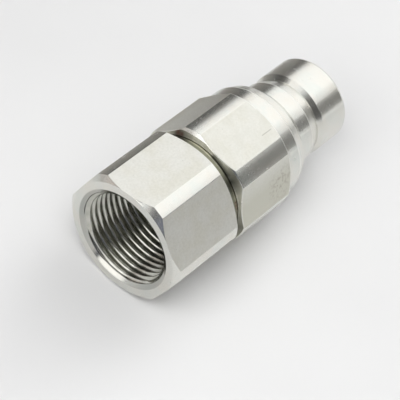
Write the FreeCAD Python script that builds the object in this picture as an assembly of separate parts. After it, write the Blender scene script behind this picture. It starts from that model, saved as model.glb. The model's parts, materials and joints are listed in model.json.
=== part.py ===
"""Hydraulic quick coupling nipple with a flat-face valve, lying on its two hexagons."""
import FreeCAD, Part
import math
import os

from FreeCAD import Vector

# All lengths are in millimetres and run along +X, from the port's mouth to the nose.

# Port adapter, outside
ADAPTER_FLATS = 41.0
ADAPTER_CORNER_RISE = 2.0
ADAPTER_HEX_LENGTH = 28.5
MOUTH_CHAMFER_HEIGHT = 1.9
MOUTH_CHAMFER_LENGTH = 1.6
HEX_CHAMFER_ANGLE = 32.0
NECK_LENGTH = 2.3

# Port: a one inch parallel pipe thread, left as a plain bore at its major diameter
PORT_DIAMETER = 33.3
PORT_COUNTERSINK_HEIGHT = 0.85
PORT_DEPTH = 25.0
PORT_FLOOR_ANGLE = 59.0

# Spigot that screws into the body; the gland of its seal is closed by the valve guide's rim
SPIGOT_DIAMETER = 33.0
SPIGOT_THREAD_LENGTH = 9.2
SPIGOT_THREAD_DEPTH = 1.1
SPIGOT_WALL = 1.8
JOINT_FACE_WIDTH = 2.4
PILOT_LENGTH = 8.0
GLAND_DEPTH = 2.1
BACK_UP_RING_WIDTH = 1.3
O_RING_WIDTH = 2.7

# Nipple body, outside
BODY_FLATS = 40.0
BODY_CORNER_RISE = 1.5
BODY_HEX_LENGTH = 22.3
COLLAR_DIAMETER = 39.8
COLLAR_LENGTH = 5.1
COLLAR_TAPER_LENGTH = 3.4
COLLAR_TAPER_ANGLE = 20.0
SHOULDER_ANGLE = 45.0
NOSE_DIAMETER = 30.0
NOSE_NECK_LENGTH = 5.6
GROOVE_DEPTH = 1.15
GROOVE_RAMP_LENGTH = 4.3
GROOVE_WALL_LENGTH = 1.7
NOSE_LAND_LENGTH = 12.1
NOSE_CHAMFER_LENGTH = 0.9
NOSE_CHAMFER_ANGLE = 30.0

# Nipple body, inside
LEAD_IN_ANGLE = 30.0
SEAT_ANGLE = 45.0
SEAT_BORE = 18.6
SEAT_LAND_LENGTH = 4.3

# Valve
POPPET_FLANGE_RISE = 0.6
POPPET_FLANGE_LENGTH = 3.2
POPPET_FLOW_GAP = 1.5
POPPET_PILOT_LENGTH = 2.4
STEM_DIAMETER = 7.0
STEM_TAIL_LENGTH = 3.0
STEM_CHAMFER = 0.8
SEAL_SETBACK = 1.3
SEAL_WIDTH = 1.8
SEAL_DEPTH = 1.5
GUIDE_THICKNESS = 3.5
GUIDE_HUB_MARGIN = 1.0
GUIDE_PILOT_LENGTH = 3.5
GUIDE_ARM_COUNT = 3
GUIDE_ARM_WIDTH = 5.0
SPRING_WIRE = 1.4
SPRING_MEAN_DIAMETER = 13.6
SPRING_LIVE_TURNS = 4
SPRING_DEAD_PITCH = 1.05
SPRING_GROUND = 0.3
SPRING_STEPS = 12
SPRING_WIRE_SIDES = 6

# Fits, all on the radius or along the axis
RUNNING_CLEARANCE = 0.05
THREAD_CLEARANCE = 0.05
PILOT_CLEARANCE = 0.1
SEAT_CLEARANCE = 0.1
SEAL_CLEARANCE = 0.02
SEAL_SLACK = 0.1
SPRING_CLEARANCE = 0.4

# Turn of each hexagon's upper flat from straight up, towards -Y. The thread stopped with the two hexagons
# out of line, and the part rests on an edge of each, one on either side of the axis.
ADAPTER_TURN = -5.586
BODY_TURN = 13.814


def slope(angle, rise):
    """Length along the axis of a cone that climbs rise at angle degrees to the axis."""
    return rise / math.tan(math.radians(angle))


def chamfer_run(rise):
    """Length along the axis of a hexagon's end chamfer, whose angle is taken from the end face."""
    return rise * math.tan(math.radians(HEX_CHAMFER_ANGLE))


# Diameters that follow from others
ADAPTER_CORNERS = ADAPTER_FLATS + 2 * ADAPTER_CORNER_RISE
BODY_CORNERS = BODY_FLATS + 2 * BODY_CORNER_RISE
MOUTH_FACE = ADAPTER_CORNERS - 2 * MOUTH_CHAMFER_HEIGHT
PORT_COUNTERSINK = PORT_DIAMETER + 2 * PORT_COUNTERSINK_HEIGHT
NECK_DIAMETER = SPIGOT_DIAMETER + 2 * JOINT_FACE_WIDTH
PILOT_DIAMETER = SPIGOT_DIAMETER - 2 * SPIGOT_THREAD_DEPTH
GLAND_DIAMETER = PILOT_DIAMETER - 2 * GLAND_DEPTH
FLOW_BORE = GLAND_DIAMETER - 2 * SPIGOT_WALL
THREAD_BORE = SPIGOT_DIAMETER + 2 * THREAD_CLEARANCE
SEAL_BORE = PILOT_DIAMETER + 2 * PILOT_CLEARANCE
TAPER_DIAMETER = COLLAR_DIAMETER - 2 * COLLAR_TAPER_LENGTH * math.tan(math.radians(COLLAR_TAPER_ANGLE))
GROOVE_DIAMETER = NOSE_DIAMETER - 2 * GROOVE_DEPTH
POPPET_DIAMETER = SEAT_BORE - 2 * RUNNING_CLEARANCE
POPPET_FLANGE_DIAMETER = SEAT_BORE + 2 * POPPET_FLANGE_RISE
NOSE_BORE = POPPET_FLANGE_DIAMETER + 2 * POPPET_FLOW_GAP
SPRING_PILOT_DIAMETER = SPRING_MEAN_DIAMETER - SPRING_WIRE - 2 * SPRING_CLEARANCE
GUIDE_HUB_DIAMETER = SPRING_MEAN_DIAMETER + SPRING_WIRE + 2 * GUIDE_HUB_MARGIN

# Places along the axis, worked out from the lengths above
ADAPTER_HEX_END = ADAPTER_HEX_LENGTH
NECK_START = ADAPTER_HEX_END + chamfer_run((ADAPTER_CORNERS - NECK_DIAMETER) / 2)
JOINT = NECK_START + NECK_LENGTH
THREAD_END = JOINT + SPIGOT_THREAD_LENGTH
SPIGOT_END = THREAD_END + PILOT_LENGTH
GLAND_START = SPIGOT_END - BACK_UP_RING_WIDTH - O_RING_WIDTH - SEAL_SLACK
GUIDE_SEAT = SPIGOT_END + GUIDE_THICKNESS
BODY_HEX_START = JOINT + chamfer_run((BODY_CORNERS - NECK_DIAMETER) / 2)
BODY_HEX_END = BODY_HEX_START + BODY_HEX_LENGTH
COLLAR_START = BODY_HEX_END + chamfer_run((BODY_CORNERS - COLLAR_DIAMETER) / 2)
COLLAR_END = COLLAR_START + COLLAR_LENGTH
TAPER_END = COLLAR_END + COLLAR_TAPER_LENGTH
NOSE_NECK_START = TAPER_END + slope(SHOULDER_ANGLE, (TAPER_DIAMETER - NOSE_DIAMETER) / 2)
RAMP_START = NOSE_NECK_START + NOSE_NECK_LENGTH
RAMP_END = RAMP_START + GROOVE_RAMP_LENGTH
NOSE_LAND_START = RAMP_END + GROOVE_WALL_LENGTH
OVERALL_LENGTH = NOSE_LAND_START + NOSE_LAND_LENGTH
SEAT_START = OVERALL_LENGTH - SEAT_LAND_LENGTH
POPPET_CONE_START = SEAT_START - SEAT_CLEARANCE
POPPET_CONE_END = POPPET_CONE_START - slope(SEAT_ANGLE, POPPET_FLANGE_RISE)
SPRING_SEAT = POPPET_CONE_END - POPPET_FLANGE_LENGTH


def lowest_reach(flats, corners, turn):
    """How far below the axis a hexagon with turned corners reaches."""
    half_flat = math.degrees(math.acos(flats / corners))
    off_corner = abs((turn % 60.0) - 30.0)
    off_strip = max(0.0, off_corner - (30.0 - half_flat))
    return corners / 2 * math.cos(math.radians(off_strip))


AXIS_HEIGHT = max(
    lowest_reach(ADAPTER_FLATS, ADAPTER_CORNERS, ADAPTER_TURN),
    lowest_reach(BODY_FLATS, BODY_CORNERS, BODY_TURN),
)
PLACE = Vector(-OVERALL_LENGTH / 2, 0, AXIS_HEIGHT)
AXIS = Vector(1, 0, 0)
MITRED = 1


def turned(outline):
    """Solid of revolution about the X axis. outline holds (x, diameter) points of a closed section."""
    points = [Vector(x, 0, diameter / 2) for x, diameter in outline]
    face = Part.Face(Part.makePolygon(points + points[:1]))
    return face.revolve(Vector(0, 0, 0), AXIS, 360)


def cylinder(start, end, diameter):
    return Part.makeCylinder(diameter / 2, end - start, Vector(start, 0, 0), AXIS)


def cut_flats(solid, start, end, flats, corners, turn):
    """Mill six flats over a stretch of a turned solid."""
    radius = flats / math.sqrt(3)
    points = []
    for index in range(6):
        angle = math.radians(turn + 30 + 60 * index)
        points.append(Vector(start, -radius * math.sin(angle), radius * math.cos(angle)))
    prism = Part.Face(Part.makePolygon(points + points[:1])).extrude(AXIS * (end - start))
    return solid.cut(cylinder(start, end, 2 * corners).cut(prism))


def ring(start, end, inner, outer):
    """Plain ring. The seals are drawn so too, squeezed square in their grooves."""
    return cylinder(start, end, outer).cut(cylinder(start, end, inner))


def port_adapter():
    floor_end = PORT_DEPTH + slope(PORT_FLOOR_ANGLE, (PORT_DIAMETER - FLOW_BORE) / 2)
    solid = turned([
        (0, PORT_COUNTERSINK),
        (0, MOUTH_FACE),
        (MOUTH_CHAMFER_LENGTH, ADAPTER_CORNERS),
        (ADAPTER_HEX_END, ADAPTER_CORNERS),
        (NECK_START, NECK_DIAMETER),
        (JOINT, NECK_DIAMETER),
        (JOINT, SPIGOT_DIAMETER),
        (THREAD_END - SPIGOT_THREAD_DEPTH, SPIGOT_DIAMETER),
        (THREAD_END, PILOT_DIAMETER),
        (GLAND_START, PILOT_DIAMETER),
        (GLAND_START, GLAND_DIAMETER),
        (SPIGOT_END, GLAND_DIAMETER),
        (SPIGOT_END, FLOW_BORE),
        (floor_end, FLOW_BORE),
        (PORT_DEPTH, PORT_DIAMETER),
        (PORT_COUNTERSINK_HEIGHT, PORT_DIAMETER),
    ])
    return cut_flats(solid, 0, NECK_START, ADAPTER_FLATS, ADAPTER_CORNERS, ADAPTER_TURN)


def nipple_body():
    lead_in_end = THREAD_END + slope(LEAD_IN_ANGLE, (THREAD_BORE - SEAL_BORE) / 2)
    nose_face = NOSE_DIAMETER - 2 * NOSE_CHAMFER_LENGTH * math.tan(math.radians(NOSE_CHAMFER_ANGLE))
    seat_foot = SEAT_START - slope(SEAT_ANGLE, (NOSE_BORE - SEAT_BORE) / 2)
    solid = turned([
        (JOINT, THREAD_BORE),
        (JOINT, NECK_DIAMETER),
        (BODY_HEX_START, BODY_CORNERS),
        (BODY_HEX_END, BODY_CORNERS),
        (COLLAR_START, COLLAR_DIAMETER),
        (COLLAR_END, COLLAR_DIAMETER),
        (TAPER_END, TAPER_DIAMETER),
        (NOSE_NECK_START, NOSE_DIAMETER),
        (RAMP_START, NOSE_DIAMETER),
        (RAMP_END, GROOVE_DIAMETER),
        (NOSE_LAND_START, NOSE_DIAMETER),
        (OVERALL_LENGTH - NOSE_CHAMFER_LENGTH, NOSE_DIAMETER),
        (OVERALL_LENGTH, nose_face),
        (OVERALL_LENGTH, SEAT_BORE),
        (SEAT_START, SEAT_BORE),
        (seat_foot, NOSE_BORE),
        (GUIDE_SEAT, NOSE_BORE),
        (GUIDE_SEAT, SEAL_BORE),
        (lead_in_end, SEAL_BORE),
        (THREAD_END, THREAD_BORE),
    ])
    return cut_flats(solid, JOINT, COLLAR_START, BODY_FLATS, BODY_CORNERS, BODY_TURN)


def valve_poppet():
    groove_start = OVERALL_LENGTH - SEAL_SETBACK - SEAL_WIDTH
    groove_end = OVERALL_LENGTH - SEAL_SETBACK
    groove_diameter = POPPET_DIAMETER - 2 * SEAL_DEPTH
    land_start = POPPET_CONE_START + slope(SEAT_ANGLE, RUNNING_CLEARANCE)
    stem_end = SPIGOT_END - STEM_TAIL_LENGTH
    return turned([
        (OVERALL_LENGTH, 0),
        (OVERALL_LENGTH, POPPET_DIAMETER),
        (groove_end, POPPET_DIAMETER),
        (groove_end, groove_diameter),
        (groove_start, groove_diameter),
        (groove_start, POPPET_DIAMETER),
        (land_start, POPPET_DIAMETER),
        (POPPET_CONE_END, POPPET_FLANGE_DIAMETER),
        (SPRING_SEAT, POPPET_FLANGE_DIAMETER),
        (SPRING_SEAT, SPRING_PILOT_DIAMETER),
        (SPRING_SEAT - POPPET_PILOT_LENGTH, SPRING_PILOT_DIAMETER),
        (SPRING_SEAT - POPPET_PILOT_LENGTH, STEM_DIAMETER),
        (stem_end + STEM_CHAMFER, STEM_DIAMETER),
        (stem_end, STEM_DIAMETER - 2 * STEM_CHAMFER),
        (stem_end, 0),
    ])


def poppet_seal():
    end = OVERALL_LENGTH - SEAL_SETBACK
    inner = POPPET_DIAMETER - 2 * SEAL_DEPTH
    outer = SEAT_BORE - 2 * SEAL_CLEARANCE
    return ring(end - SEAL_WIDTH, end, inner, outer)


def valve_guide():
    rim_outer = SEAL_BORE - 2 * PILOT_CLEARANCE
    bore = STEM_DIAMETER + 2 * RUNNING_CLEARANCE
    rim = ring(SPIGOT_END, GUIDE_SEAT, FLOW_BORE, rim_outer)
    solid = rim.fuse(cylinder(SPIGOT_END, GUIDE_SEAT, GUIDE_HUB_DIAMETER))
    solid = solid.fuse(cylinder(GUIDE_SEAT, GUIDE_SEAT + GUIDE_PILOT_LENGTH, SPRING_PILOT_DIAMETER))
    arm_length = (FLOW_BORE + rim_outer) / 4
    for index in range(GUIDE_ARM_COUNT):
        corner = Vector(SPIGOT_END, -GUIDE_ARM_WIDTH / 2, 0)
        arm = Part.makeBox(GUIDE_THICKNESS, GUIDE_ARM_WIDTH, arm_length, corner)
        arm.rotate(Vector(0, 0, 0), AXIS, 360 / GUIDE_ARM_COUNT * index)
        solid = solid.fuse(arm)
    solid = solid.cut(cylinder(SPIGOT_END, GUIDE_SEAT + GUIDE_PILOT_LENGTH, bore))
    return solid.removeSplitter()


def coil_path(start, end):
    """Corners of a coil about the axis, with a dead turn at each end and the live turns between."""
    dead_pitch = SPRING_WIRE * SPRING_DEAD_PITCH
    live_pitch = (end - start - 2 * dead_pitch) / SPRING_LIVE_TURNS
    last = SPRING_STEPS * (SPRING_LIVE_TURNS + 2)
    place = start
    corners = []
    for step in range(last + 1):
        angle = 2 * math.pi * step / SPRING_STEPS
        across = Vector(0, math.sin(angle), math.cos(angle))
        corners.append(across * (SPRING_MEAN_DIAMETER / 2) + AXIS * place)
        dead = step < SPRING_STEPS or step >= last - SPRING_STEPS
        place += (dead_pitch if dead else live_pitch) / SPRING_STEPS
    return corners


def valve_spring():
    """Coil spring between guide and poppet, with both ends ground flat."""
    inset = SPRING_WIRE / 2 - SPRING_GROUND
    path = coil_path(GUIDE_SEAT + inset, SPRING_SEAT - inset)
    run = (path[1] - path[0]).normalize()
    outward = Vector(0, 0, 1)
    sideways = run.cross(outward)
    section = []
    for side in range(SPRING_WIRE_SIDES):
        angle = 2 * math.pi * side / SPRING_WIRE_SIDES
        offset = outward * math.cos(angle) + sideways * math.sin(angle)
        section.append(path[0] + offset * (SPRING_WIRE / 2))
    profile = Part.makePolygon(section + section[:1])
    coil = Part.makePolygon(path).makePipeShell([profile], True, False, MITRED)
    return coil.common(cylinder(GUIDE_SEAT, SPRING_SEAT, 2 * SPRING_MEAN_DIAMETER))


def joint_o_ring():
    start = GLAND_START + BACK_UP_RING_WIDTH
    outer = SEAL_BORE - 2 * SEAL_CLEARANCE
    return ring(start, start + O_RING_WIDTH, GLAND_DIAMETER, outer)


def back_up_ring():
    outer = SEAL_BORE - 2 * SEAL_CLEARANCE
    end = GLAND_START + BACK_UP_RING_WIDTH
    return ring(GLAND_START, end, GLAND_DIAMETER, outer)


PIECES = (
    port_adapter,
    nipple_body,
    valve_poppet,
    poppet_seal,
    valve_spring,
    valve_guide,
    joint_o_ring,
    back_up_ring,
)

os.makedirs("parts", exist_ok=True)
for piece in PIECES:
    shape = piece()
    shape.translate(PLACE)
    shape.exportStep("parts/" + piece.__name__ + ".step")
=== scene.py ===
"""Hydraulic quick coupling nipple: surfaces, thread, spring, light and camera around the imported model."""
import json
import math

import bmesh
import bpy
from mathutils import Matrix, Vector


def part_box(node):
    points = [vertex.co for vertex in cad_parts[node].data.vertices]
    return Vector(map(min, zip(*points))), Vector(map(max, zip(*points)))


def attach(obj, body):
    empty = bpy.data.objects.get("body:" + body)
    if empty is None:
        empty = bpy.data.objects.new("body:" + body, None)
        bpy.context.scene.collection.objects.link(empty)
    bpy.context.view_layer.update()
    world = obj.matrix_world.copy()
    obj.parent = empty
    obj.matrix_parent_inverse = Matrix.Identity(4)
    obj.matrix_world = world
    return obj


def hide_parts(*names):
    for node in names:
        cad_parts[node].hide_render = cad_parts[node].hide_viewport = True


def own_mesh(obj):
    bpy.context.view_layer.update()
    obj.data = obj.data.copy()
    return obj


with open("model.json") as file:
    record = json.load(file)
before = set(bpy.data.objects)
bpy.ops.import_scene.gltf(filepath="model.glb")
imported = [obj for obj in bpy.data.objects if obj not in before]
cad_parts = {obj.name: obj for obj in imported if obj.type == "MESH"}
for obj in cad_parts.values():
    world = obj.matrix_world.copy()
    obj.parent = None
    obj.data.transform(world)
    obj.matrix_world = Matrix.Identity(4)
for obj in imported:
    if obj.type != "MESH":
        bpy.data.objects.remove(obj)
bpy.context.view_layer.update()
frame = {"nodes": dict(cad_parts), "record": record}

# The part's lengths are in millimetres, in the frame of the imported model, and angles are in degrees
MM = 0.001


def span(node):
    """Start and end of a CAD node along the axis."""
    low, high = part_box(node)
    return low.x / MM, high.x / MM


def slope(angle, rise):
    """Length along the axis of a cone that climbs rise at angle degrees to the axis."""
    return rise / math.tan(math.radians(angle))


MOUNTS = {mount["name"]: mount for mount in frame["record"]["mounts"]}
AXIS_HEIGHT = MOUNTS["port"]["pos_m"][2] / MM
MOUTH, SPIGOT_END = span("port_adapter")
JOINT, NOSE_END = span("nipple_body")
GUIDE_START, GUIDE_END = span("valve_guide")
SPRING_START, SPRING_END = span("valve_spring")
STEM_END, POPPET_FACE = span("valve_poppet")
SEAL_START, SEAL_END = span("poppet_seal")
GLAND_START = span("back_up_ring")[0]

# Hexagons: each is (width across its flats, diameter over its corners, angle of a flat from straight up)
HEX_SIDES = 6
HEX_SECTOR = 360 / HEX_SIDES
HEX_CHAMFER_ANGLE = 58.0

# Port adapter
ADAPTER_FLATS = 41.0
ADAPTER_CORNERS = 45.0
ADAPTER_TURN = -5.586
ADAPTER_HEX = (ADAPTER_FLATS, ADAPTER_CORNERS, ADAPTER_TURN)
ADAPTER_HEX_END = MOUTH + 28.5
MOUTH_FACE = 41.2
MOUTH_CHAMFER_ANGLE = 49.9
NECK_START = MOUTH + 30.75
NECK_DIAMETER = 37.8
NECK_LAND = 0.6
JOINT_CHAMFER = 0.3
PORT_DIAMETER = 2 * MOUNTS["port"]["dims"]["r_mm"]
PORT_COUNTERSINK = 35.9
PORT_COUNTERSINK_ANGLE = 60.0
PORT_RELIEF = 32.7
PORT_END = MOUTH + 25.0
PORT_FLOOR_ANGLE = 59.0
SPIGOT_DIAMETER = 33.0
PILOT_DIAMETER = 30.8
PILOT_START = JOINT + 9.2
SPIGOT_CHAMFER = 1.1
GLAND_DIAMETER = 26.6
FLOW_BORE = 23.0

# One inch parallel pipe thread in the port
THREAD_PITCH = 2.309
THREAD_CREST = 30.291
THREAD_ROOT = 33.249
THREAD_SHARPNESS = 0.96
THREAD_TURN = 155.0
THREAD_START = MOUTH + 1.3
THREAD_END = MOUTH + 24.6
THREAD_RUN_OUT = 1.0
THREAD_ROWS_PER_PITCH = 16

# Nipple body
BODY_FLATS = 40.0
BODY_CORNERS = 43.0
BODY_TURN = 13.814
BODY_HEX = (BODY_FLATS, BODY_CORNERS, BODY_TURN)
BODY_HEX_END = JOINT + 23.924
COLLAR_START = JOINT + 24.924
COLLAR_END = COLLAR_START + 5.1
COLLAR_DIAMETER = 39.8
TAPER_END = COLLAR_END + 3.4
TAPER_DIAMETER = 37.325
NOSE_DIAMETER = 2 * MOUNTS["nose"]["dims"]["r_mm"]
NOSE_FACE = 28.961
NOSE_CHAMFER_LENGTH = 0.9
NOSE_LAND_START = NOSE_END - 12.1
GROOVE_DIAMETER = 27.7
RAMP_END = NOSE_LAND_START - 1.7
RAMP_START = RAMP_END - 4.3
NOSE_NECK_START = RAMP_START - 5.6
SEAT_BORE = 18.6
SEAT_START = NOSE_END - 4.3
SEAT_ANGLE = 45.0
NOSE_BORE = 22.8
SEAL_BORE = 31.0
THREAD_BORE = 33.1
LEAD_IN_ANGLE = 30.0

# Valve
POPPET_DIAMETER = 18.5
POPPET_FLANGE = 19.8
POPPET_CONE_START = SEAT_START - 0.1
SEAL_GROOVE = 15.5
SEAL_DIAMETER = 18.56
SPRING_PILOT = 11.4
POPPET_PILOT_LENGTH = 2.4
STEM_DIAMETER = 7.0
STEM_CHAMFER = 0.8
GUIDE_BORE = 7.1
GUIDE_HUB = 17.0
GUIDE_RIM = 30.8
GUIDE_ARMS = 3
GUIDE_ARM_WIDTH = 5.0
GUIDE_ARM_COLUMNS = 6
GUIDE_WINDOW_COLUMNS = 22
GUIDE_SHARP_ANGLE = 40.0

# Spring, which goes from its dead pitch to its live one over part of a turn at each end
SPRING_WIRE = 1.4
SPRING_MEAN = 13.6
SPRING_TURNS = 6
SPRING_DEAD_PITCH = 1.05 * SPRING_WIRE
SPRING_DEAD_TURN = 0.75
SPRING_BLEND_TURN = 0.5
SPRING_GROUND = 0.3
SPRING_STEPS_PER_TURN = 40
SPRING_SIDES = 16

# Painted shade on the body's front chamfer: its lip has a painted highlight, the shade is painted wider lower
# down, and it ends short of the flats
LIP_HEIGHT = 0.4
CHAMFER_SHADE_DIAMETER = 40.4
CHAMFER_SHADE_SPREAD = 3.5
CHAMFER_SHADE_RIM = 0.3

# Painted shade and rust in the gap between the hexagons: each spot's place along the axis from the mouth, its
# radius, its angle and its size
SHADE_LINE_ANGLES = range(14, 36, 3)
SHADE_LINE_ALONG = 32.95
SHADE_LINE_RADIUS = 19.05
SHADE_LINE_SIZE = 1.2
SHADE_SPOTS = (
    (33.2, 19.4, 42.5, 5.5),
    (33.4, 19.6, 96.0, 13.0),
    (33.4, 19.6, -30.0, 6.0),
    *((SHADE_LINE_ALONG, SHADE_LINE_RADIUS, angle, SHADE_LINE_SIZE) for angle in SHADE_LINE_ANGLES),
)
RUST_SPOTS = (
    (32.25, 18.9, 63.5, 0.8),
    (32.4, 18.9, 67.5, 0.9),
    (32.55, 18.9, 71.0, 0.7),
    (33.55, 19.7, -31.5, 1.6),
    (33.39, 19.45, -26.5, 1.1),
)

# Wear on the body's flats, and their darkening towards the bottom: places are along the axis from the mouth,
# radius and angle, and heights are above the floor
SCRATCH_START = (52.06, 20.41, 25.3)
SCRATCH_END = (56.27, 20.42, 25.41)
SCRATCH_DOTS = 12
SCRATCH_WIDTH = 0.24
WORN_PATCH = (53.0, 20.03, 77.0)
WORN_PATCH_SIZE = 7.5
DARKENING_START_HEIGHT = 36.0
DARKENING_FULL_HEIGHT = 27.0

# Rounding of edges
BREAK = 0.12
EDGE = 0.22
FILLET = 0.5
HEX_WEAR = 0.3
STEP_WEAR = 0.85
ROUNDING_STEPS = 4
ROUNDING_REACH = 0.45
STRIP_BLEND = 0.06
LEAST_CHAMFER = 0.06

# Columns round the axis
COLUMN_STEP = 1.5
STRIP_EDGE_COLUMNS = (-0.55, -0.2, 0.0, 0.2, 0.55)
ROUND_COLUMNS = 144

# Distance in metres at which points are joined, and the weight of large faces in the shading
WELD = 1e-8
FLAT_FACE_WEIGHT = 100

# Finishes, in the order of the housing's materials
TURNED, MILLED, THREADED, RIM, NECK_SHADED, LAND_SHADED, LIP_HIGHLIT, CHAMFER_SHADED, WORN_HIGHLIT = range(9)


def point(x, radius, angle):
    """Frame position in metres of a point at an angle from straight up towards -Y, seen along the axis."""
    turn = math.radians(angle)
    return Vector((x, -radius * math.sin(turn), AXIS_HEIGHT + radius * math.cos(turn))) * MM


def from_mouth(place):
    """Frame position of a mark given by its distance from the mouth, radius and angle."""
    along, radius, angle = place
    return point(MOUTH + along, radius, angle)


def smooth_step(value):
    """Value kept between 0 and 1, with a soft start and end."""
    value = min(1.0, max(0.0, value))
    return value * value * (3 - 2 * value)


def smooth_min(first, second, blend):
    """Smaller of two values, rounded off where they are nearly the same."""
    share = min(1.0, max(0.0, 0.5 + 0.5 * (second - first) / blend))
    return second + (first - second) * share - blend * share * (1 - share)


def off_flat(angle, turn):
    """Angle to the middle of the nearest flat."""
    return (angle - turn + HEX_SECTOR / 2) % HEX_SECTOR - HEX_SECTOR / 2


def half_flat(flats, corners):
    """Angle from the middle of a flat to the edge where the turned corner starts."""
    return math.degrees(math.acos(flats / corners))


def hex_radius(angle, flats, corners, turn):
    """Radius of a hexagon whose corners are turned down to a cylinder."""
    flat = flats / 2 / math.cos(math.radians(off_flat(angle, turn)))
    return smooth_min(flat, corners / 2, STRIP_BLEND)


def hex_finish(angle, flats, corners, turn):
    """Milled on the flats, and turned at the corners."""
    return MILLED if abs(off_flat(angle, turn)) < half_flat(flats, corners) else TURNED


def hex_columns(flats, corners, turn):
    """Angles of the columns round a hexagon, closer together where its flats meet the turned corners."""
    half = half_flat(flats, corners)
    edges = [turn + HEX_SECTOR * index + side * half for index in range(HEX_SIDES) for side in (-1, 1)]
    columns = [edge + offset for edge in edges for offset in STRIP_EDGE_COLUMNS]
    for index in range(round(360 / COLUMN_STEP)):
        angle = turn + index * COLUMN_STEP
        gap = min(abs((angle - edge + 180) % 360 - 180) for edge in edges)
        if gap > COLUMN_STEP / 2:
            columns.append(angle)
    return sorted(angle % 360 for angle in columns)


def round_columns():
    """Angles of the columns of a round piece."""
    return [360 * index / ROUND_COLUMNS for index in range(ROUND_COLUMNS)]


def rounded(corners):
    """Closed section with its corners rounded.

    Each corner is (x, radius, rounding, finish of the run after it), and may end with a finish of its own.
    """
    section = []
    for index, (x, radius, rounding, finish, *own) in enumerate(corners):
        if rounding == 0:
            section.append((x, radius, finish))
            continue
        corner = Vector((x, radius))
        before = Vector(corners[index - 1][:2]) - corner
        after = Vector(corners[(index + 1) % len(corners)][:2]) - corner
        half_angle = before.angle(after) / 2
        longest = ROUNDING_REACH * min(before.length, after.length)
        reach = min(rounding / math.tan(half_angle), longest)
        first = corner + before.normalized() * reach
        last = corner + after.normalized() * reach
        for step in range(ROUNDING_STEPS + 1):
            share = step / ROUNDING_STEPS
            bend = first.lerp(corner, share).lerp(corner.lerp(last, share), share)
            section.append((bend.x, bend.y, own[0] if own and step < ROUNDING_STEPS else finish))
    return section


def finished(piece, body, nodes, materials):
    """Rides a new piece on its body, in place of CAD nodes, with shading that keeps flat faces flat."""
    for material in materials:
        piece.data.materials.append(material)
    piece.data.polygons.foreach_set("use_smooth", [True] * len(piece.data.polygons))
    normals = piece.modifiers.new("flat faces", "WEIGHTED_NORMAL")
    normals.weight = FLAT_FACE_WEIGHT
    normals.keep_sharp = True
    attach(piece, body)
    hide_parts(*nodes)


def new_piece(name, shape):
    """Object from a bmesh, with its faces turned outwards."""
    bmesh.ops.recalc_face_normals(shape, faces=shape.faces)
    mesh = bpy.data.meshes.new(name)
    shape.to_mesh(mesh)
    shape.free()
    piece = bpy.data.objects.new(name, mesh)
    bpy.context.scene.collection.objects.link(piece)
    return piece


def swept(name, columns, section_at):
    """Closed surface round the axis, from the section at each column's angle."""
    sections = [section_at(angle) for angle in columns]
    shape = bmesh.new()
    grid = [
        [shape.verts.new(point(x, radius, angle)) for x, radius, _ in section]
        for angle, section in zip(columns, sections)
    ]
    for index, column in enumerate(grid):
        following = grid[(index + 1) % len(grid)]
        for row in range(len(column)):
            above = (row + 1) % len(column)
            face = shape.faces.new((column[row], column[above], following[above], following[row]))
            face.material_index = sections[index][row][2]
    bmesh.ops.remove_doubles(shape, verts=shape.verts, dist=WELD)
    bmesh.ops.dissolve_degenerate(shape, edges=shape.edges, dist=WELD)
    return new_piece(name, shape)


def thread_radius(x, angle):
    """Wall of the port: a right-hand thread, cut back by the countersink and running out before the floor."""
    phase = 2 * math.pi * (x - MOUTH) / THREAD_PITCH - math.radians(angle + THREAD_TURN)
    wave = math.asin(THREAD_SHARPNESS * math.sin(phase)) / math.asin(THREAD_SHARPNESS)
    thread = (THREAD_ROOT + THREAD_CREST + (THREAD_ROOT - THREAD_CREST) * wave) / 4
    ended = smooth_step((x - THREAD_END) / THREAD_RUN_OUT + 1)
    wall = thread + (PORT_DIAMETER / 2 - thread) * ended
    cone = PORT_COUNTERSINK / 2 - (x - MOUTH) * math.tan(math.radians(PORT_COUNTERSINK_ANGLE))
    relief = PORT_RELIEF / 2 if x < THREAD_START else 0
    return max(wall, cone, relief)


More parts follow.
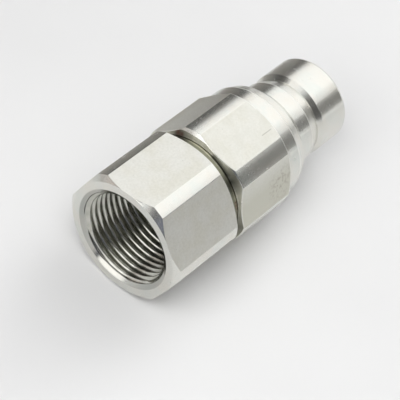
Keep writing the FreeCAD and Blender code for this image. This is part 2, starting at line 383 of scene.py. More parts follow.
def adapter_section(angle):
    """Hexagon, neck and spigot outside, flow bore and threaded port inside."""
    hexagon = hex_radius(angle, *ADAPTER_HEX)
    sides = hex_finish(angle, *ADAPTER_HEX)
    face = min(MOUTH_FACE / 2, hexagon - LEAST_CHAMFER)
    front = MOUTH + slope(MOUTH_CHAMFER_ANGLE, hexagon - face)
    back = ADAPTER_HEX_END + slope(HEX_CHAMFER_ANGLE, ADAPTER_CORNERS / 2 - hexagon)
    floor_end = PORT_END + slope(PORT_FLOOR_ANGLE, (PORT_DIAMETER - FLOW_BORE) / 2)
    corners = [
        (MOUTH, PORT_COUNTERSINK / 2, BREAK, TURNED),
        (MOUTH, face, BREAK, TURNED),
        (front, hexagon, BREAK, sides),
        (back, hexagon, BREAK, TURNED),
        # Painted shade on the neck and the land in the gap between the hexagons
        (NECK_START, NECK_DIAMETER / 2, EDGE, NECK_SHADED),
        (JOINT - JOINT_CHAMFER - NECK_LAND, NECK_DIAMETER / 2, 0, LAND_SHADED),
        (JOINT - JOINT_CHAMFER, NECK_DIAMETER / 2, 0, NECK_SHADED),
        (JOINT, NECK_DIAMETER / 2 - JOINT_CHAMFER, 0, NECK_SHADED),
        (JOINT, SPIGOT_DIAMETER / 2, 0, TURNED),
        (PILOT_START - SPIGOT_CHAMFER, SPIGOT_DIAMETER / 2, 0, TURNED),
        (PILOT_START, PILOT_DIAMETER / 2, 0, TURNED),
        (GLAND_START, PILOT_DIAMETER / 2, 0, TURNED),
        (GLAND_START, GLAND_DIAMETER / 2, 0, TURNED),
        (SPIGOT_END, GLAND_DIAMETER / 2, 0, TURNED),
        (SPIGOT_END, FLOW_BORE / 2, EDGE, TURNED),
        (floor_end, FLOW_BORE / 2, FILLET, TURNED),
        (PORT_END, PORT_DIAMETER / 2, FILLET, THREADED),
    ]
    row_height = THREAD_PITCH / THREAD_ROWS_PER_PITCH
    rows = int((THREAD_END - MOUTH) / row_height)
    for row in range(rows, 0, -1):
        x = MOUTH + row * row_height
        corners.append((x, thread_radius(x, angle), 0, THREADED if x > THREAD_START else RIM))
    return rounded(corners)


def body_section(angle):
    """Hexagon, collar, ball groove and nose outside, seat and the adapter's bore inside."""
    hexagon = hex_radius(angle, *BODY_HEX)
    sides = hex_finish(angle, *BODY_HEX)
    front = JOINT + slope(HEX_CHAMFER_ANGLE, hexagon - NECK_DIAMETER / 2)
    lip_end = JOINT + slope(HEX_CHAMFER_ANGLE, LIP_HEIGHT)
    # The chamfer's painted shade reaches further out lower down
    spread = CHAMFER_SHADE_SPREAD * (1 - math.cos(math.radians(angle)))
    shade_and_rust = min(CHAMFER_SHADE_DIAMETER / 2 + spread, hexagon - CHAMFER_SHADE_RIM)
    shade_end = JOINT + slope(HEX_CHAMFER_ANGLE, shade_and_rust - NECK_DIAMETER / 2)
    back = BODY_HEX_END + slope(HEX_CHAMFER_ANGLE, BODY_CORNERS / 2 - hexagon)
    lead_in_end = PILOT_START + slope(LEAD_IN_ANGLE, (THREAD_BORE - SEAL_BORE) / 2)
    seat_foot = SEAT_START - slope(SEAT_ANGLE, (NOSE_BORE - SEAT_BORE) / 2)
    return rounded([
        (JOINT, THREAD_BORE / 2, 0, TURNED),
        # The lip carries a painted highlight, the chamfer after it painted shade
        (JOINT, NECK_DIAMETER / 2, BREAK, LIP_HIGHLIT),
        (lip_end, NECK_DIAMETER / 2 + LIP_HEIGHT, 0, CHAMFER_SHADED),
        (shade_end, shade_and_rust, 0, TURNED),
        (front, hexagon, BREAK, sides),
        # Worn edges here are also painted lighter as edge highlights
        (back, hexagon, HEX_WEAR, TURNED, WORN_HIGHLIT),
        (COLLAR_START, COLLAR_DIAMETER / 2, EDGE, TURNED),
        (COLLAR_END, COLLAR_DIAMETER / 2, STEP_WEAR, TURNED, WORN_HIGHLIT),
        (TAPER_END, TAPER_DIAMETER / 2, EDGE, TURNED, WORN_HIGHLIT),
        (NOSE_NECK_START, NOSE_DIAMETER / 2, FILLET, TURNED),
        (RAMP_START, NOSE_DIAMETER / 2, STEP_WEAR, TURNED, WORN_HIGHLIT),
        (RAMP_END, GROOVE_DIAMETER / 2, BREAK, TURNED),
        (NOSE_LAND_START, NOSE_DIAMETER / 2, BREAK, TURNED),
        (NOSE_END - NOSE_CHAMFER_LENGTH, NOSE_DIAMETER / 2, FILLET, TURNED),
        (NOSE_END, NOSE_FACE / 2, EDGE, TURNED),
        (NOSE_END, SEAT_BORE / 2, BREAK, TURNED),
        (SEAT_START, SEAT_BORE / 2, 0, TURNED),
        (seat_foot, NOSE_BORE / 2, EDGE, TURNED),
        (SPRING_START, NOSE_BORE / 2, 0, TURNED),
        (SPRING_START, SEAL_BORE / 2, 0, TURNED),
        (lead_in_end, SEAL_BORE / 2, 0, TURNED),
        (PILOT_START, THREAD_BORE / 2, 0, TURNED),
    ])


def poppet_section(_angle):
    """Flat face, seal groove, cone, spring pilot and stem, the same all round."""
    cone_end = POPPET_CONE_START - slope(SEAT_ANGLE, (POPPET_FLANGE - SEAT_BORE) / 2)
    land_start = POPPET_CONE_START + slope(SEAT_ANGLE, (SEAT_BORE - POPPET_DIAMETER) / 2)
    return rounded([
        (POPPET_FACE, 0, 0, TURNED),
        (POPPET_FACE, POPPET_DIAMETER / 2, BREAK, TURNED),
        (SEAL_END, POPPET_DIAMETER / 2, BREAK, TURNED),
        (SEAL_END, SEAL_GROOVE / 2, 0, TURNED),
        (SEAL_START, SEAL_GROOVE / 2, 0, TURNED),
        (SEAL_START, POPPET_DIAMETER / 2, BREAK, TURNED),
        (land_start, POPPET_DIAMETER / 2, 0, TURNED),
        (cone_end, POPPET_FLANGE / 2, BREAK, TURNED),
        (SPRING_END, POPPET_FLANGE / 2, EDGE, TURNED),
        (SPRING_END, SPRING_PILOT / 2, EDGE, TURNED),
        (SPRING_END - POPPET_PILOT_LENGTH, SPRING_PILOT / 2, EDGE, TURNED),
        (SPRING_END - POPPET_PILOT_LENGTH, STEM_DIAMETER / 2, EDGE, TURNED),
        (STEM_END + STEM_CHAMFER, STEM_DIAMETER / 2, EDGE, TURNED),
        (STEM_END, STEM_DIAMETER / 2 - STEM_CHAMFER, EDGE, TURNED),
        (STEM_END, 0, 0, TURNED),
    ])


def seal_section(_angle):
    """Ring with soft outer corners, the same all round."""
    return rounded([
        (SEAL_START, SEAL_GROOVE / 2, EDGE, TURNED),
        (SEAL_START, SEAL_DIAMETER / 2, FILLET, TURNED),
        (SEAL_END, SEAL_DIAMETER / 2, FILLET, TURNED),
        (SEAL_END, SEAL_GROOVE / 2, EDGE, TURNED),
    ])


def coil(name):
    """Round wire with a dead turn at each end, ground flat where it sits."""
    inset = SPRING_WIRE / 2 - SPRING_GROUND
    length = SPRING_END - SPRING_START - 2 * inset
    live_pitch = (length - 2 * SPRING_DEAD_PITCH) / (SPRING_TURNS - 2)
    place = SPRING_START + inset
    shape = bmesh.new()
    rings = []
    for step in range(SPRING_STEPS_PER_TURN * SPRING_TURNS + 1):
        turn = step / SPRING_STEPS_PER_TURN
        ring = []
        for side in range(SPRING_SIDES):
            around = 2 * math.pi * side / SPRING_SIDES
            x = place + SPRING_WIRE / 2 * math.sin(around)
            x = min(SPRING_END, max(SPRING_START, x))
            radius = (SPRING_MEAN + SPRING_WIRE * math.cos(around)) / 2
            ring.append(shape.verts.new(point(x, radius, -360 * turn)))
        rings.append(ring)
        rising = smooth_step((turn - SPRING_DEAD_TURN) / SPRING_BLEND_TURN)
        falling = smooth_step((SPRING_TURNS - turn - SPRING_DEAD_TURN) / SPRING_BLEND_TURN)
        pitch = SPRING_DEAD_PITCH + (live_pitch - SPRING_DEAD_PITCH) * rising * falling
        place += pitch / SPRING_STEPS_PER_TURN
    for ring, following in zip(rings, rings[1:]):
        for side in range(SPRING_SIDES):
            after = (side + 1) % SPRING_SIDES
            shape.faces.new((ring[side], ring[after], following[after], following[side]))
    shape.faces.new(rings[0])
    shape.faces.new(rings[-1])
    return new_piece(name, shape)


def off_axis(face):
    """Distance of a face's middle from the axis."""
    centre = face.calc_center_median()
    return math.hypot(centre.y, centre.z - AXIS_HEIGHT * MM) / MM


def raise_up(shape, items, height):
    """Moves extruded points along the axis."""
    corners = [item for item in items if isinstance(item, bmesh.types.BMVert)]
    bmesh.ops.translate(shape, verts=corners, vec=Vector((height * MM, 0, 0)))


def guide(name):
    """Plate with a rim and a hub joined by arms, and the spring's pilot standing on the hub."""
    radii = (GUIDE_BORE / 2, SPRING_PILOT / 2, GUIDE_HUB / 2, FLOW_BORE / 2, GUIDE_RIM / 2)
    sector = 360 / GUIDE_ARMS
    columns = []
    for arm in range(GUIDE_ARMS):
        for on_arm, count in ((True, GUIDE_ARM_COLUMNS), (False, GUIDE_WINDOW_COLUMNS)):
            columns += [(arm, on_arm, step / count) for step in range(count)]
    shape = bmesh.new()
    grid = []
    for arm, on_arm, share in columns:
        column = []
        for radius in radii:
            half = math.degrees(math.asin(GUIDE_ARM_WIDTH / 2 / max(radius, GUIDE_HUB / 2)))
            angle = half * (2 * share - 1) if on_arm else half + share * (sector - 2 * half)
            column.append(shape.verts.new(point(GUIDE_START, radius, arm * sector + angle)))
        grid.append(column)
    for index, column in enumerate(grid):
        following = grid[(index + 1) % len(grid)]
        on_arm = columns[index][1]
        for ring in range(len(radii) - 1):
            if on_arm or radii[ring] != GUIDE_HUB / 2:
                shape.faces.new((column[ring], column[ring + 1], following[ring + 1], following[ring]))
    plate = bmesh.ops.extrude_face_region(shape, geom=list(shape.faces), use_keep_orig=True)["geom"]
    raise_up(shape, plate, SPRING_START - GUIDE_START)
    faces = [item for item in plate if isinstance(item, bmesh.types.BMFace)]
    on_hub = [face for face in faces if off_axis(face) < SPRING_PILOT / 2]
    pilot = bmesh.ops.extrude_face_region(shape, geom=on_hub)["geom"]
    bmesh.ops.delete(shape, geom=on_hub, context="FACES_ONLY")
    raise_up(shape, pilot, GUIDE_END - SPRING_START)
    piece = new_piece(name, shape)
    piece.data.set_sharp_from_angle(angle=math.radians(GUIDE_SHARP_ANGLE))
    return piece


# Colours of the materials, linear
ZINC_PLAIN = (0.72, 0.715, 0.67, 1)
ZINC_WARM = (0.72, 0.705, 0.65, 1)
ZINC_COOL = (0.695, 0.71, 0.67, 1)
# Worn edges, also painted lighter as edge highlights
EDGE_HIGHLIGHT_PLAIN = (0.82, 0.815, 0.77, 1)
EDGE_HIGHLIGHT_BRIGHT = (0.9, 0.9, 0.86, 1)
RIM_WARM = (0.52, 0.51, 0.47, 1)
RIM_COOL = (0.49, 0.5, 0.47, 1)
MILLED_PLAIN = (0.69, 0.685, 0.64, 1)
MILLED_WARM = (0.66, 0.65, 0.585, 1)
MILLED_COOL = (0.7, 0.7, 0.66, 1)
MILLED_SPECK = (0.52, 0.515, 0.46, 1)
MILLED_PIT = (0.3, 0.295, 0.26, 1)
# Darker colour for random patches and for the flats towards the bottom
MILLED_DARKER = (0.56, 0.555, 0.485, 1)
MILLED_BROWN = (0.38, 0.35, 0.3, 1)
THREAD_PLAIN = (0.66, 0.66, 0.61, 1)
THREAD_DARK = (0.52, 0.52, 0.46, 1)
# Painted shade in the gap between the hexagons, olive-tinted, darkest on the neck and dimmer on the land and
# chamfer
NECK_PAINTED_SHADE = (0.24, 0.24, 0.17, 1)
GAP_PAINTED_SHADE_DARK = (0.1, 0.1, 0.08, 1)
LAND_PAINTED_SHADE = (0.66, 0.65, 0.5, 1)
# Painted highlight on the body's lip in the gap
LIP_PAINTED_HIGHLIGHT = (0.96, 0.95, 0.82, 1)
CHAMFER_PAINTED_SHADE = (0.66, 0.65, 0.54, 1)
CHAMFER_PAINTED_SHADE_DARK = (0.16, 0.16, 0.13, 1)
RUST = (0.17, 0.095, 0.07, 1)
STEEL_PLAIN = (0.62, 0.62, 0.6, 1)
STEEL_DARK = (0.5, 0.5, 0.49, 1)
WIRE_PLAIN = (0.42, 0.41, 0.39, 1)
WIRE_DARK = (0.25, 0.24, 0.22, 1)
RUBBER_PLAIN = (0.025, 0.025, 0.026, 1)
RUBBER_DUSTY = (0.05, 0.05, 0.05, 1)
BACK_UP_PLAIN = (0.8, 0.79, 0.74, 1)
BACK_UP_SHADE = (0.7, 0.69, 0.64, 1)
FLOOR_PLAIN = (0.8, 0.8, 0.8, 1)
FLOOR_SHADE = (0.785, 0.785, 0.785, 1)
CARD_GREY = (0.46, 0.445, 0.42, 1)
CARD_DARK = (0.17, 0.165, 0.16, 1)
CARD_BLUE = (0.05, 0.06, 0.09, 1)
CARD_BLACK = (0.03, 0.03, 0.03, 1)


class Nodes:
    """Node tree, with its nodes added and fed in one call."""

    def __init__(self, tree):
        self.tree = tree

    def node(self, kind, inputs=None, **settings):
        """New node with settings, and with inputs by name or place."""
        made = self.tree.nodes.new(kind)
        for name, value in settings.items():
            setattr(made, name, value)
        self.feed(made.inputs, inputs or {})
        return made

    def feed(self, sockets, inputs):
        """Links each input that comes from a node, and sets each one that is a value."""
        for name, value in inputs.items():
            if isinstance(value, bpy.types.NodeSocket):
                self.tree.links.new(value, sockets[name])
            else:
                sockets[name].default_value = value


class Surface(Nodes):
    """Node material with one principled shader. Sizes, depths and heights are in millimetres."""

    def __init__(self, name):
        self.material = bpy.data.materials.new(name)
        self.material.use_nodes = True
        super().__init__(self.material.node_tree)
        self.place = self.node("ShaderNodeTexCoord").outputs["Object"]

    def rings(self):
        """Coordinates that are the same all round the axis, for marks left by turning."""
        axis = (0, 0, AXIS_HEIGHT * MM)
        centred = self.node("ShaderNodeVectorMath", {0: self.place, 1: axis}, operation="SUBTRACT")
        parts = self.node("ShaderNodeSeparateXYZ", {0: centred.outputs[0]}).outputs
        across = self.node("ShaderNodeCombineXYZ", {1: parts[1], 2: parts[2]})
        radius = self.node("ShaderNodeVectorMath", {0: across.outputs[0]}, operation="LENGTH")
        return self.node("ShaderNodeCombineXYZ", {0: parts[0], 1: radius.outputs["Value"]}).outputs[0]

    def noise(self, place, size, detail):
        """Noise from 0 to 1 with spots of about a size."""
        inputs = {"Vector": place, "Scale": 1 / (size * MM), "Detail": detail}
        return self.node("ShaderNodeTexNoise", inputs).outputs["Fac"]

    def spread(self, value, low, high, start=0.25, end=0.75):
        """Noise between start and end brought to a range of values."""
        inputs = {"Value": value, "From Min": start, "From Max": end, "To Min": low, "To Max": high}
        return self.node("ShaderNodeMapRange", inputs).outputs["Result"]

    def ramp(self, value, *colours, start=0.35, end=0.65):
        """Colours in even steps, by default over the middle range of a noise."""
        ramp = self.node("ShaderNodeValToRGB", {"Fac": value})
        stops = ramp.color_ramp.elements
        for index, colour in enumerate(colours):
            position = start + (end - start) * index / (len(colours) - 1)
            stop = stops[index] if index < 2 else stops.new(position)
            stop.position = position
            stop.color = colour
        return ramp.outputs["Color"]

    def by_height(self, none, full):
        """Share that goes from 0 at one height above the floor to 1 at another."""
        up = self.node("ShaderNodeSeparateXYZ", {0: self.place}).outputs["Z"]
        inputs = {"Value": up, "From Min": none * MM, "From Max": full * MM}
        return self.node("ShaderNodeMapRange", inputs).outputs["Result"]

    def near(self, centre, size):
        """Share that falls from 1 at the middle of a spot to 0 at its edge."""
        away = self.node("ShaderNodeVectorMath", {0: self.place, 1: centre}, operation="DISTANCE")
        inputs = {"Value": away.outputs["Value"], "From Max": size * MM, "To Min": 1.0, "To Max": 0.0}
        return self.node("ShaderNodeMapRange", inputs).outputs["Result"]

    def both(self, operation, first, second):
        """Two shares put together by a maths operation."""
        return self.node("ShaderNodeMath", {0: first, 1: second}, operation=operation).outputs[0]

    def mix(self, share, first, second):
        """Two colours mixed by share."""
        mixer = self.node("ShaderNodeMix", data_type="RGBA")
        sockets = {socket.identifier: socket for socket in mixer.inputs}
        self.feed(sockets, {"Factor_Float": share, "A_Color": first, "B_Color": second})
        return next(socket for socket in mixer.outputs if socket.identifier == "Result_Color")

    def relief(self, height, depth):
        """Bump of a depth."""
        inputs = {"Height": height, "Strength": 1.0, "Distance": depth * MM}
        return self.node("ShaderNodeBump", inputs).outputs["Normal"]

    def finish(self, colour, roughness, normal, metallic):
        """Material with its shader fed."""
        inputs = {"Base Color": colour, "Roughness": roughness, "Normal": normal, "Metallic": metallic}
        self.feed(self.tree.nodes["Principled BSDF"].inputs, inputs)
        return self.material


def turned_zinc(name, colours, smooth, rough):
    """Plating on turned faces, with fine feed marks and cloudy colour."""
    surface = Surface(name)
    tint = surface.ramp(surface.noise(surface.place, size=7.0, detail=3.0), *colours)
    haze = surface.noise(surface.place, size=1.8, detail=5.0)
    roughness = surface.spread(haze, low=smooth, high=rough)
    feed_marks = surface.noise(surface.rings(), size=0.5, detail=2.0)
    return surface.finish(tint, roughness, surface.relief(feed_marks, depth=0.0003), metallic=1.0)


def milled_zinc(name, worn):
    """Plated flats with fine grain and pits. Worn ones are also darker in random patches and towards the
    bottom, browned in a patch and scratched.
    """
    surface = Surface(name)
    clouds = surface.noise(surface.place, size=8.0, detail=4.0)
    tint = surface.ramp(clouds, MILLED_WARM, MILLED_PLAIN, MILLED_COOL)
    grain = surface.noise(surface.place, size=0.7, detail=5.0)
    specks = surface.ramp(grain, MILLED_SPECK, MILLED_PLAIN)
    roughness = surface.spread(grain, low=0.4, high=0.3)
    pits = surface.noise(surface.place, size=0.55, detail=2.0)
    pits = surface.spread(pits, low=0.0, high=0.4, start=0.69, end=0.76)
    colour = surface.mix(share=0.25, first=tint, second=specks)
    colour = surface.mix(pits, colour, MILLED_PIT)
    if worn:
        patches = surface.noise(surface.place, size=6.0, detail=4.0)
        patches = surface.spread(patches, low=0.0, high=0.5)
        # Darker towards the bottom, from one height above the floor to a lower one
        low_down = surface.by_height(none=DARKENING_START_HEIGHT, full=DARKENING_FULL_HEIGHT)
        colour = surface.mix(surface.both("MAXIMUM", patches, low_down), colour, MILLED_DARKER)
        blotches = surface.noise(surface.place, size=1.1, detail=5.0)
        blotches = surface.spread(blotches, low=0.0, high=1.0, start=0.48, end=0.6)
        browned = surface.near(from_mouth(WORN_PATCH), WORN_PATCH_SIZE)
        colour = surface.mix(surface.both("MULTIPLY", blotches, browned), colour, MILLED_BROWN)
        for dot in range(SCRATCH_DOTS):
            share = dot / (SCRATCH_DOTS - 1)
            place = from_mouth(SCRATCH_START).lerp(from_mouth(SCRATCH_END), share)
            colour = surface.mix(surface.near(place, SCRATCH_WIDTH), colour, MILLED_PIT)
    return surface.finish(colour, roughness, surface.relief(grain, depth=0.004), metallic=1.0)


def threaded_zinc():
    """Plating in the port, with tool marks along the thread."""
    surface = Surface("threaded zinc plating")
    clouds = surface.noise(surface.place, size=3.0, detail=3.0)
    tint = surface.ramp(clouds, THREAD_DARK, THREAD_PLAIN)
    tool_marks = surface.noise(surface.rings(), size=0.35, detail=3.0)
    roughness = surface.spread(tool_marks, low=0.16, high=0.26)
    return surface.finish(tint, roughness, surface.relief(tool_marks, depth=0.012), metallic=1.0)


def gap_shaded_zinc(name, plain, dark, smooth, rough):
    """Plating in the gap between the hexagons, coloured with olive-tinted painted shade that is mottled
    darker, with dark spots of painted shade and spots of rust.
    """
    surface = Surface(name)
    shade_mottle = surface.noise(surface.place, size=1.5, detail=4.0)
    colour = surface.mix(surface.spread(shade_mottle, low=0.0, high=0.35), plain, dark)
    # Dark spots of painted shade in the gap, and real rust spots
    for spots, shade_and_rust in ((SHADE_SPOTS, dark), (RUST_SPOTS, RUST)):
        for *place, size in spots:
            colour = surface.mix(surface.near(from_mouth(place), size), colour, shade_and_rust)
    roughness = surface.spread(shade_mottle, low=smooth, high=rough)
    feed_marks = surface.noise(surface.rings(), size=0.5, detail=2.0)
    return surface.finish(colour, roughness, surface.relief(feed_marks, depth=0.001), metallic=1.0)


def turned_steel():
    """Steel of the valve, with tool marks and colour in rings."""
    surface = Surface("turned valve steel")
    rings = surface.rings()
    tint = surface.ramp(surface.noise(rings, size=1.2, detail=3.0), STEEL_DARK, STEEL_PLAIN)
    tool_marks = surface.noise(rings, size=0.3, detail=2.0)
    roughness = surface.spread(tool_marks, low=0.22, high=0.36)
    return surface.finish(tint, roughness, surface.relief(tool_marks, depth=0.004), metallic=1.0)


def drawn_wire():
    """Dark wire with a fine grain."""
    surface = Surface("drawn spring wire")
    grain = surface.noise(surface.place, size=0.3, detail=2.0)
    tint = surface.ramp(grain, WIRE_DARK, WIRE_PLAIN)
    roughness = surface.spread(grain, low=0.28, high=0.42)
    return surface.finish(tint, roughness, surface.relief(grain, depth=0.003), metallic=1.0)


def moulded(name, plain, shade, smooth, rough):
    """Soft ring: rubber or plastic with a faintly uneven skin."""
    surface = Surface(name)
    skin = surface.noise(surface.place, size=0.4, detail=3.0)
    tint = surface.ramp(skin, plain, shade)
    roughness = surface.spread(skin, low=smooth, high=rough)
    return surface.finish(tint, roughness, surface.relief(skin, depth=0.003), metallic=0.0)


def card(name, foot, top):
    """Matt card that changes from one colour at its foot to another at its top."""
    surface = Surface(name)
    fibre = surface.noise(surface.place, size=1.5, detail=3.0)
    tint = surface.ramp(surface.by_height(none=0.0, full=FLAG_HEIGHT / MM), foot, top, start=0.0, end=1.0)
    roughness = surface.spread(fibre, low=0.8, high=0.9)
    return surface.finish(tint, roughness, surface.relief(fibre, depth=0.002), metallic=0.0)


def paper():
    """Matt floor with a faint unevenness."""
    surface = Surface("floor")
    fibre = surface.noise(surface.place, size=1.5, detail=3.0)
    clouds = surface.noise(surface.place, size=60.0, detail=2.0)
    tint = surface.ramp(clouds, FLOOR_PLAIN, FLOOR_SHADE)
    roughness = surface.spread(fibre, low=0.7, high=0.8)
    return surface.finish(tint, roughness, surface.relief(fibre, depth=0.002), metallic=0.0)


# Studio, in metres. Its soft lights are mirrored by the metal, and their size is (width, height).
FLOOR_HALF = 1.2
WHITE = (1.0, 1.0, 1.0)
DOWN = (0, 0, -1)
TO_MOUTH = (-1, 0, 0)
TO_NOSE = (1, 0, 0)
TO_LEFT = (0, 1, 0)
OVERHEAD_TURN = 20.0
PANELS = {
    "overhead": {
        "centre": (0.44, 0.2, 0.7),
        "size": (1.64, 1.2),
        "facing": DOWN,
        "turn": OVERHEAD_TURN,
        "radiance": 1.27,
    },
    "right": {
        "centre": (0.697, -0.507, 0.7),
        "size": (1.64, 0.52),
        "facing": DOWN,
        "turn": OVERHEAD_TURN,
        "radiance": 0.95,
    },
    "back": {
        "centre": (1.25, 0.21, 0.35),
        "size": (1.02, 0.66),
        "facing": TO_MOUTH,
        "radiance": 1.0,
    },
    "front": {
        "centre": (-1.0, 0.33, 0.275),
        "size": (0.7, 0.53),
        "facing": TO_NOSE,
        "radiance": 1.9,
    },
    "left": {
        "centre": (-0.616, 0.788, 0.24),
        "size": (0.5, 0.44),
        "facing": (0.616, -0.788, 0),
        "radiance": 0.6,
        "colour": (1.0, 0.92, 0.88),
    },
    "horizon": {
        "centre": (0.1, -1.15, 0.075),
        "size": (3.0, 0.15),
        "facing": TO_LEFT,
        "radiance": 1.15,
    },
    "window": {
        "centre": (-0.9, -0.44, 0.35),
        "size": (0.4, 0.3),
        "facing": (0.9, 0.44, -0.3),
        "radiance": 0.28,
        "colour": (0.66, 0.72, 1.0),
    },
}

# Lamps for the floor alone, all aimed at the part: bearing from +X towards +Y, and height as an angle
FLOOR_LAMPS = {
    "front lamp": {"bearing": 180.0, "height": 55.0, "radiance": 3.4},
    "side lamp": {"bearing": 225.0, "height": 55.0, "radiance": 1.6},
    "back lamp": {"bearing": 0.0, "height": 55.0, "radiance": 1.3},
    "low back lamp": {"bearing": 0.0, "height": 25.0, "radiance": 2.5},
}
FLOOR_LAMP_DISTANCE = 0.6
FLOOR_LAMP_SIZE = (0.4, 0.4)

# Low dark cards that only mirroring surfaces see, one behind the part and one before its mouth: distance,
# bearing from +X towards +Y, where each starts and ends across that, and its colours at the foot and top
FLAGS = {
    "back flag": {
        "distance": 0.095,
        "bearing": 51.5,
        "start": -0.035,
        "end": 0.17,
        "foot": CARD_GREY,
        "top": CARD_DARK,
    },
    "front flag": {
        "distance": 0.346,
        "bearing": 185.5,
        "start": -0.028,
        "end": 0.1,
        "foot": CARD_BLUE,
        "top": CARD_BLACK,
    },
}
FLAG_HEIGHT = 0.06

# Surroundings: the room that the metal mirrors is dim, and lighter beyond the nose
ROOM_DIM = (0.08, 0.079, 0.078, 1)
ROOM_LIGHT = (0.34, 0.34, 0.33, 1)
ROOM_LIGHT_FROM = (0.94, -0.34, 0.0)
ROOM_LIGHT_EDGE = 0.6
BACKDROP = (0.84, 0.84, 0.845, 1)
FLOOR_LIGHT = (0.306, 0.306, 0.306, 1)

# Camera: the way it looks, from +Y towards +X and down, its roll, the point it aims at, and the distance
CAMERA_AZIMUTH = 60.522
CAMERA_ELEVATION = 48.439
CAMERA_ROLL = 15.449
CAMERA_AIM = (MOUTH + 30.925, -5.218, AXIS_HEIGHT)
CAMERA_DISTANCE = 613.79
CAMERA_SENSOR = 36.0
CAMERA_LENS = 175.5


def sheet(name, corners, material):
    """Flat piece of the stage."""
    shape = bmesh.new()
    shape.faces.new([shape.verts.new(corner) for corner in corners])
    piece = new_piece(name, shape)
    piece.data.materials.append(material)
    return piece


def floor(material):
    """Pale sheet under the part."""
    half = FLOOR_HALF
    sheet("floor", [(-half, -half, 0), (half, -half, 0), (half, half, 0), (-half, half, 0)], material)


def flag(name, distance, bearing, start, end, foot, top):
    """Card that only mirroring surfaces see."""
    bearing = math.radians(bearing)
    out = Vector((math.cos(bearing), math.sin(bearing), 0)) * distance
    along = Vector((-math.sin(bearing), math.cos(bearing), 0))
    low = out + along * start
    high = out + along * end
    up = Vector((0, 0, FLAG_HEIGHT))
    piece = sheet(name, [low, high, high + up, low + up], card(name, foot, top))
    piece.visible_camera = False
    piece.visible_diffuse = False
    piece.visible_shadow = False


def aimed(facing, turn):
    """Rotation of a light or camera that faces a way and is turned about it."""
    return Vector(facing).to_track_quat("-Z", "Y").to_matrix() @ Matrix.Rotation(math.radians(turn), 3, "Z")


def panel(name, centre, size, facing, radiance, turn=0.0, colour=WHITE, mirrored=True):
    """Soft rectangular light, which is either mirrored by the metal or lights the floor."""
    light = bpy.data.lights.new(name, "AREA")
    light.shape = "RECTANGLE"
    light.size, light.size_y = size
    light.energy = radiance * math.pi * light.size * light.size_y
    light.color = colour
    lamp = bpy.data.objects.new(name, light)
    lamp.matrix_world = Matrix.Translation(centre) @ aimed(facing, turn).to_4x4()
    lamp.visible_glossy = mirrored
    lamp.visible_diffuse = not mirrored
    bpy.context.scene.collection.objects.link(lamp)


def floor_lamp(name, bearing, height, radiance):
    """Light for the floor alone, aimed at the part."""
    bearing = math.radians(bearing)
    height = math.radians(height)
    level = math.cos(height)
    towards = Vector((level * math.cos(bearing), level * math.sin(bearing), math.sin(height)))
    centre = towards * FLOOR_LAMP_DISTANCE
    panel(name, centre, FLOOR_LAMP_SIZE, -towards, radiance, mirrored=False)


def room():
    """Dim room for the metal to mirror, an even light for the floor and a backdrop for the camera."""
    world = bpy.data.worlds.new("room")
    world.use_nodes = True
    bpy.context.scene.world = world
    nodes = Nodes(world.node_tree)
    direction = nodes.node("ShaderNodeTexCoord").outputs["Generated"]
    towards = nodes.node("ShaderNodeVectorMath", {0: direction, 1: ROOM_LIGHT_FROM}, operation="DOT_PRODUCT")
    shade = nodes.node("ShaderNodeValToRGB", {"Fac": towards.outputs["Value"]})
    dim, light = shade.color_ramp.elements
    dim.position = ROOM_LIGHT_EDGE
    dim.color = ROOM_DIM
    light.color = ROOM_LIGHT
    background = nodes.tree.nodes["Background"]
    nodes.feed(background.inputs, {"Color": shade.outputs["Color"]})
    seen = background.outputs[0]
    rays = nodes.node("ShaderNodeLightPath").outputs
    for ray, colour in (("Is Diffuse Ray", FLOOR_LIGHT), ("Is Camera Ray", BACKDROP)):
        plain = nodes.node("ShaderNodeBackground", {"Color": colour}).outputs[0]
        seen = nodes.node("ShaderNodeMixShader", {0: rays[ray], 1: seen, 2: plain}).outputs[0]
    nodes.feed(nodes.tree.nodes["World Output"].inputs, {"Surface": seen})


def camera():
    """Long lens above the port's mouth, at the photograph's angle and roll."""
    azimuth = math.radians(CAMERA_AZIMUTH)
    elevation = math.radians(CAMERA_ELEVATION)
    level = math.cos(elevation)
    forward = Vector((level * math.sin(azimuth), level * math.cos(azimuth), -math.sin(elevation)))
    lens = bpy.data.cameras.new("camera")
    lens.sensor_width = CAMERA_SENSOR
    lens.lens = CAMERA_LENS
    viewer = bpy.data.objects.new("camera", lens)
    place = (Vector(CAMERA_AIM) - CAMERA_DISTANCE * forward) * MM
    viewer.matrix_world = Matrix.Translation(place) @ aimed(forward, CAMERA_ROLL).to_4x4()
    bpy.context.scene.collection.objects.link(viewer)
    bpy.context.scene.camera = viewer


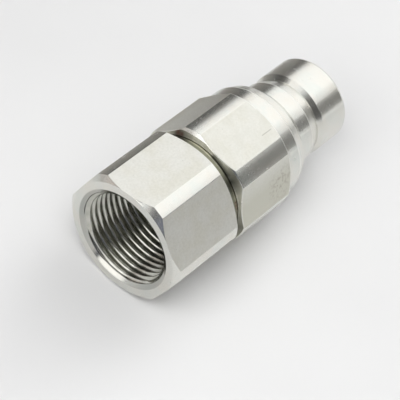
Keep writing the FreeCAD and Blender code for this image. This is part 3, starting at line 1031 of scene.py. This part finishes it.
turned = turned_zinc("turned zinc plating", (ZINC_WARM, ZINC_PLAIN, ZINC_COOL), smooth=0.23, rough=0.28)
rim = turned_zinc("countersunk zinc plating", (RIM_WARM, RIM_COOL), smooth=0.1, rough=0.16)
# Worn edges, also painted lighter as edge highlights
worn_highlit_edges = turned_zinc("worn edges with painted highlight", (EDGE_HIGHLIGHT_PLAIN, EDGE_HIGHLIGHT_BRIGHT), smooth=0.5, rough=0.6)
threaded = threaded_zinc()
# Painted shade in the gap between the hexagons, and a painted highlight on the body's lip
neck_painted_shade = gap_shaded_zinc("neck with painted shade", NECK_PAINTED_SHADE, GAP_PAINTED_SHADE_DARK, smooth=0.28, rough=0.45)
land_painted_shade = gap_shaded_zinc("land with painted shade", LAND_PAINTED_SHADE, GAP_PAINTED_SHADE_DARK, smooth=0.28, rough=0.45)
lip_painted_highlight = gap_shaded_zinc("lip with painted highlight", LIP_PAINTED_HIGHLIGHT, GAP_PAINTED_SHADE_DARK, smooth=0.5, rough=0.6)
chamfer_painted_shade = gap_shaded_zinc("chamfer with painted shade", CHAMFER_PAINTED_SHADE, CHAMFER_PAINTED_SHADE_DARK, smooth=0.45, rough=0.55)
after_milled = (threaded, rim, neck_painted_shade, land_painted_shade, lip_painted_highlight, chamfer_painted_shade, worn_highlit_edges)
adapter_zinc = (turned, milled_zinc("milled adapter", worn=False), *after_milled)
body_zinc = (turned, milled_zinc("milled body", worn=True), *after_milled)
valve_steel = (turned_steel(),)
rubber = moulded("rubber", RUBBER_PLAIN, RUBBER_DUSTY, smooth=0.5, rough=0.65)
back_up = moulded("back-up ring plastic", BACK_UP_PLAIN, BACK_UP_SHADE, smooth=0.45, rough=0.6)

adapter = swept("adapter", hex_columns(*ADAPTER_HEX), adapter_section)
finished(adapter, "housing", ["port_adapter"], adapter_zinc)

body = swept("body", hex_columns(*BODY_HEX), body_section)
finished(body, "housing", ["nipple_body"], body_zinc)

poppet = swept("poppet", round_columns(), poppet_section)
finished(poppet, "valve", ["valve_poppet"], valve_steel)

seal = swept("seal", round_columns(), seal_section)
finished(seal, "valve", ["poppet_seal"], (rubber,))

stem_guide = guide("guide")
finished(stem_guide, "housing", ["valve_guide"], valve_steel)

spring = coil("spring")
finished(spring, "housing", ["valve_spring"], (drawn_wire(),))
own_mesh(spring)

for node, material in (("joint_o_ring", rubber), ("back_up_ring", back_up)):
    frame["nodes"][node].data.materials.clear()
    frame["nodes"][node].data.materials.append(material)

floor(paper())
for name, settings in PANELS.items():
    panel(name, **settings)
for name, settings in FLOOR_LAMPS.items():
    floor_lamp(name, **settings)
for name, settings in FLAGS.items():
    flag(name, **settings)
room()
camera()
bpy.context.scene.view_settings.view_transform = "Standard"
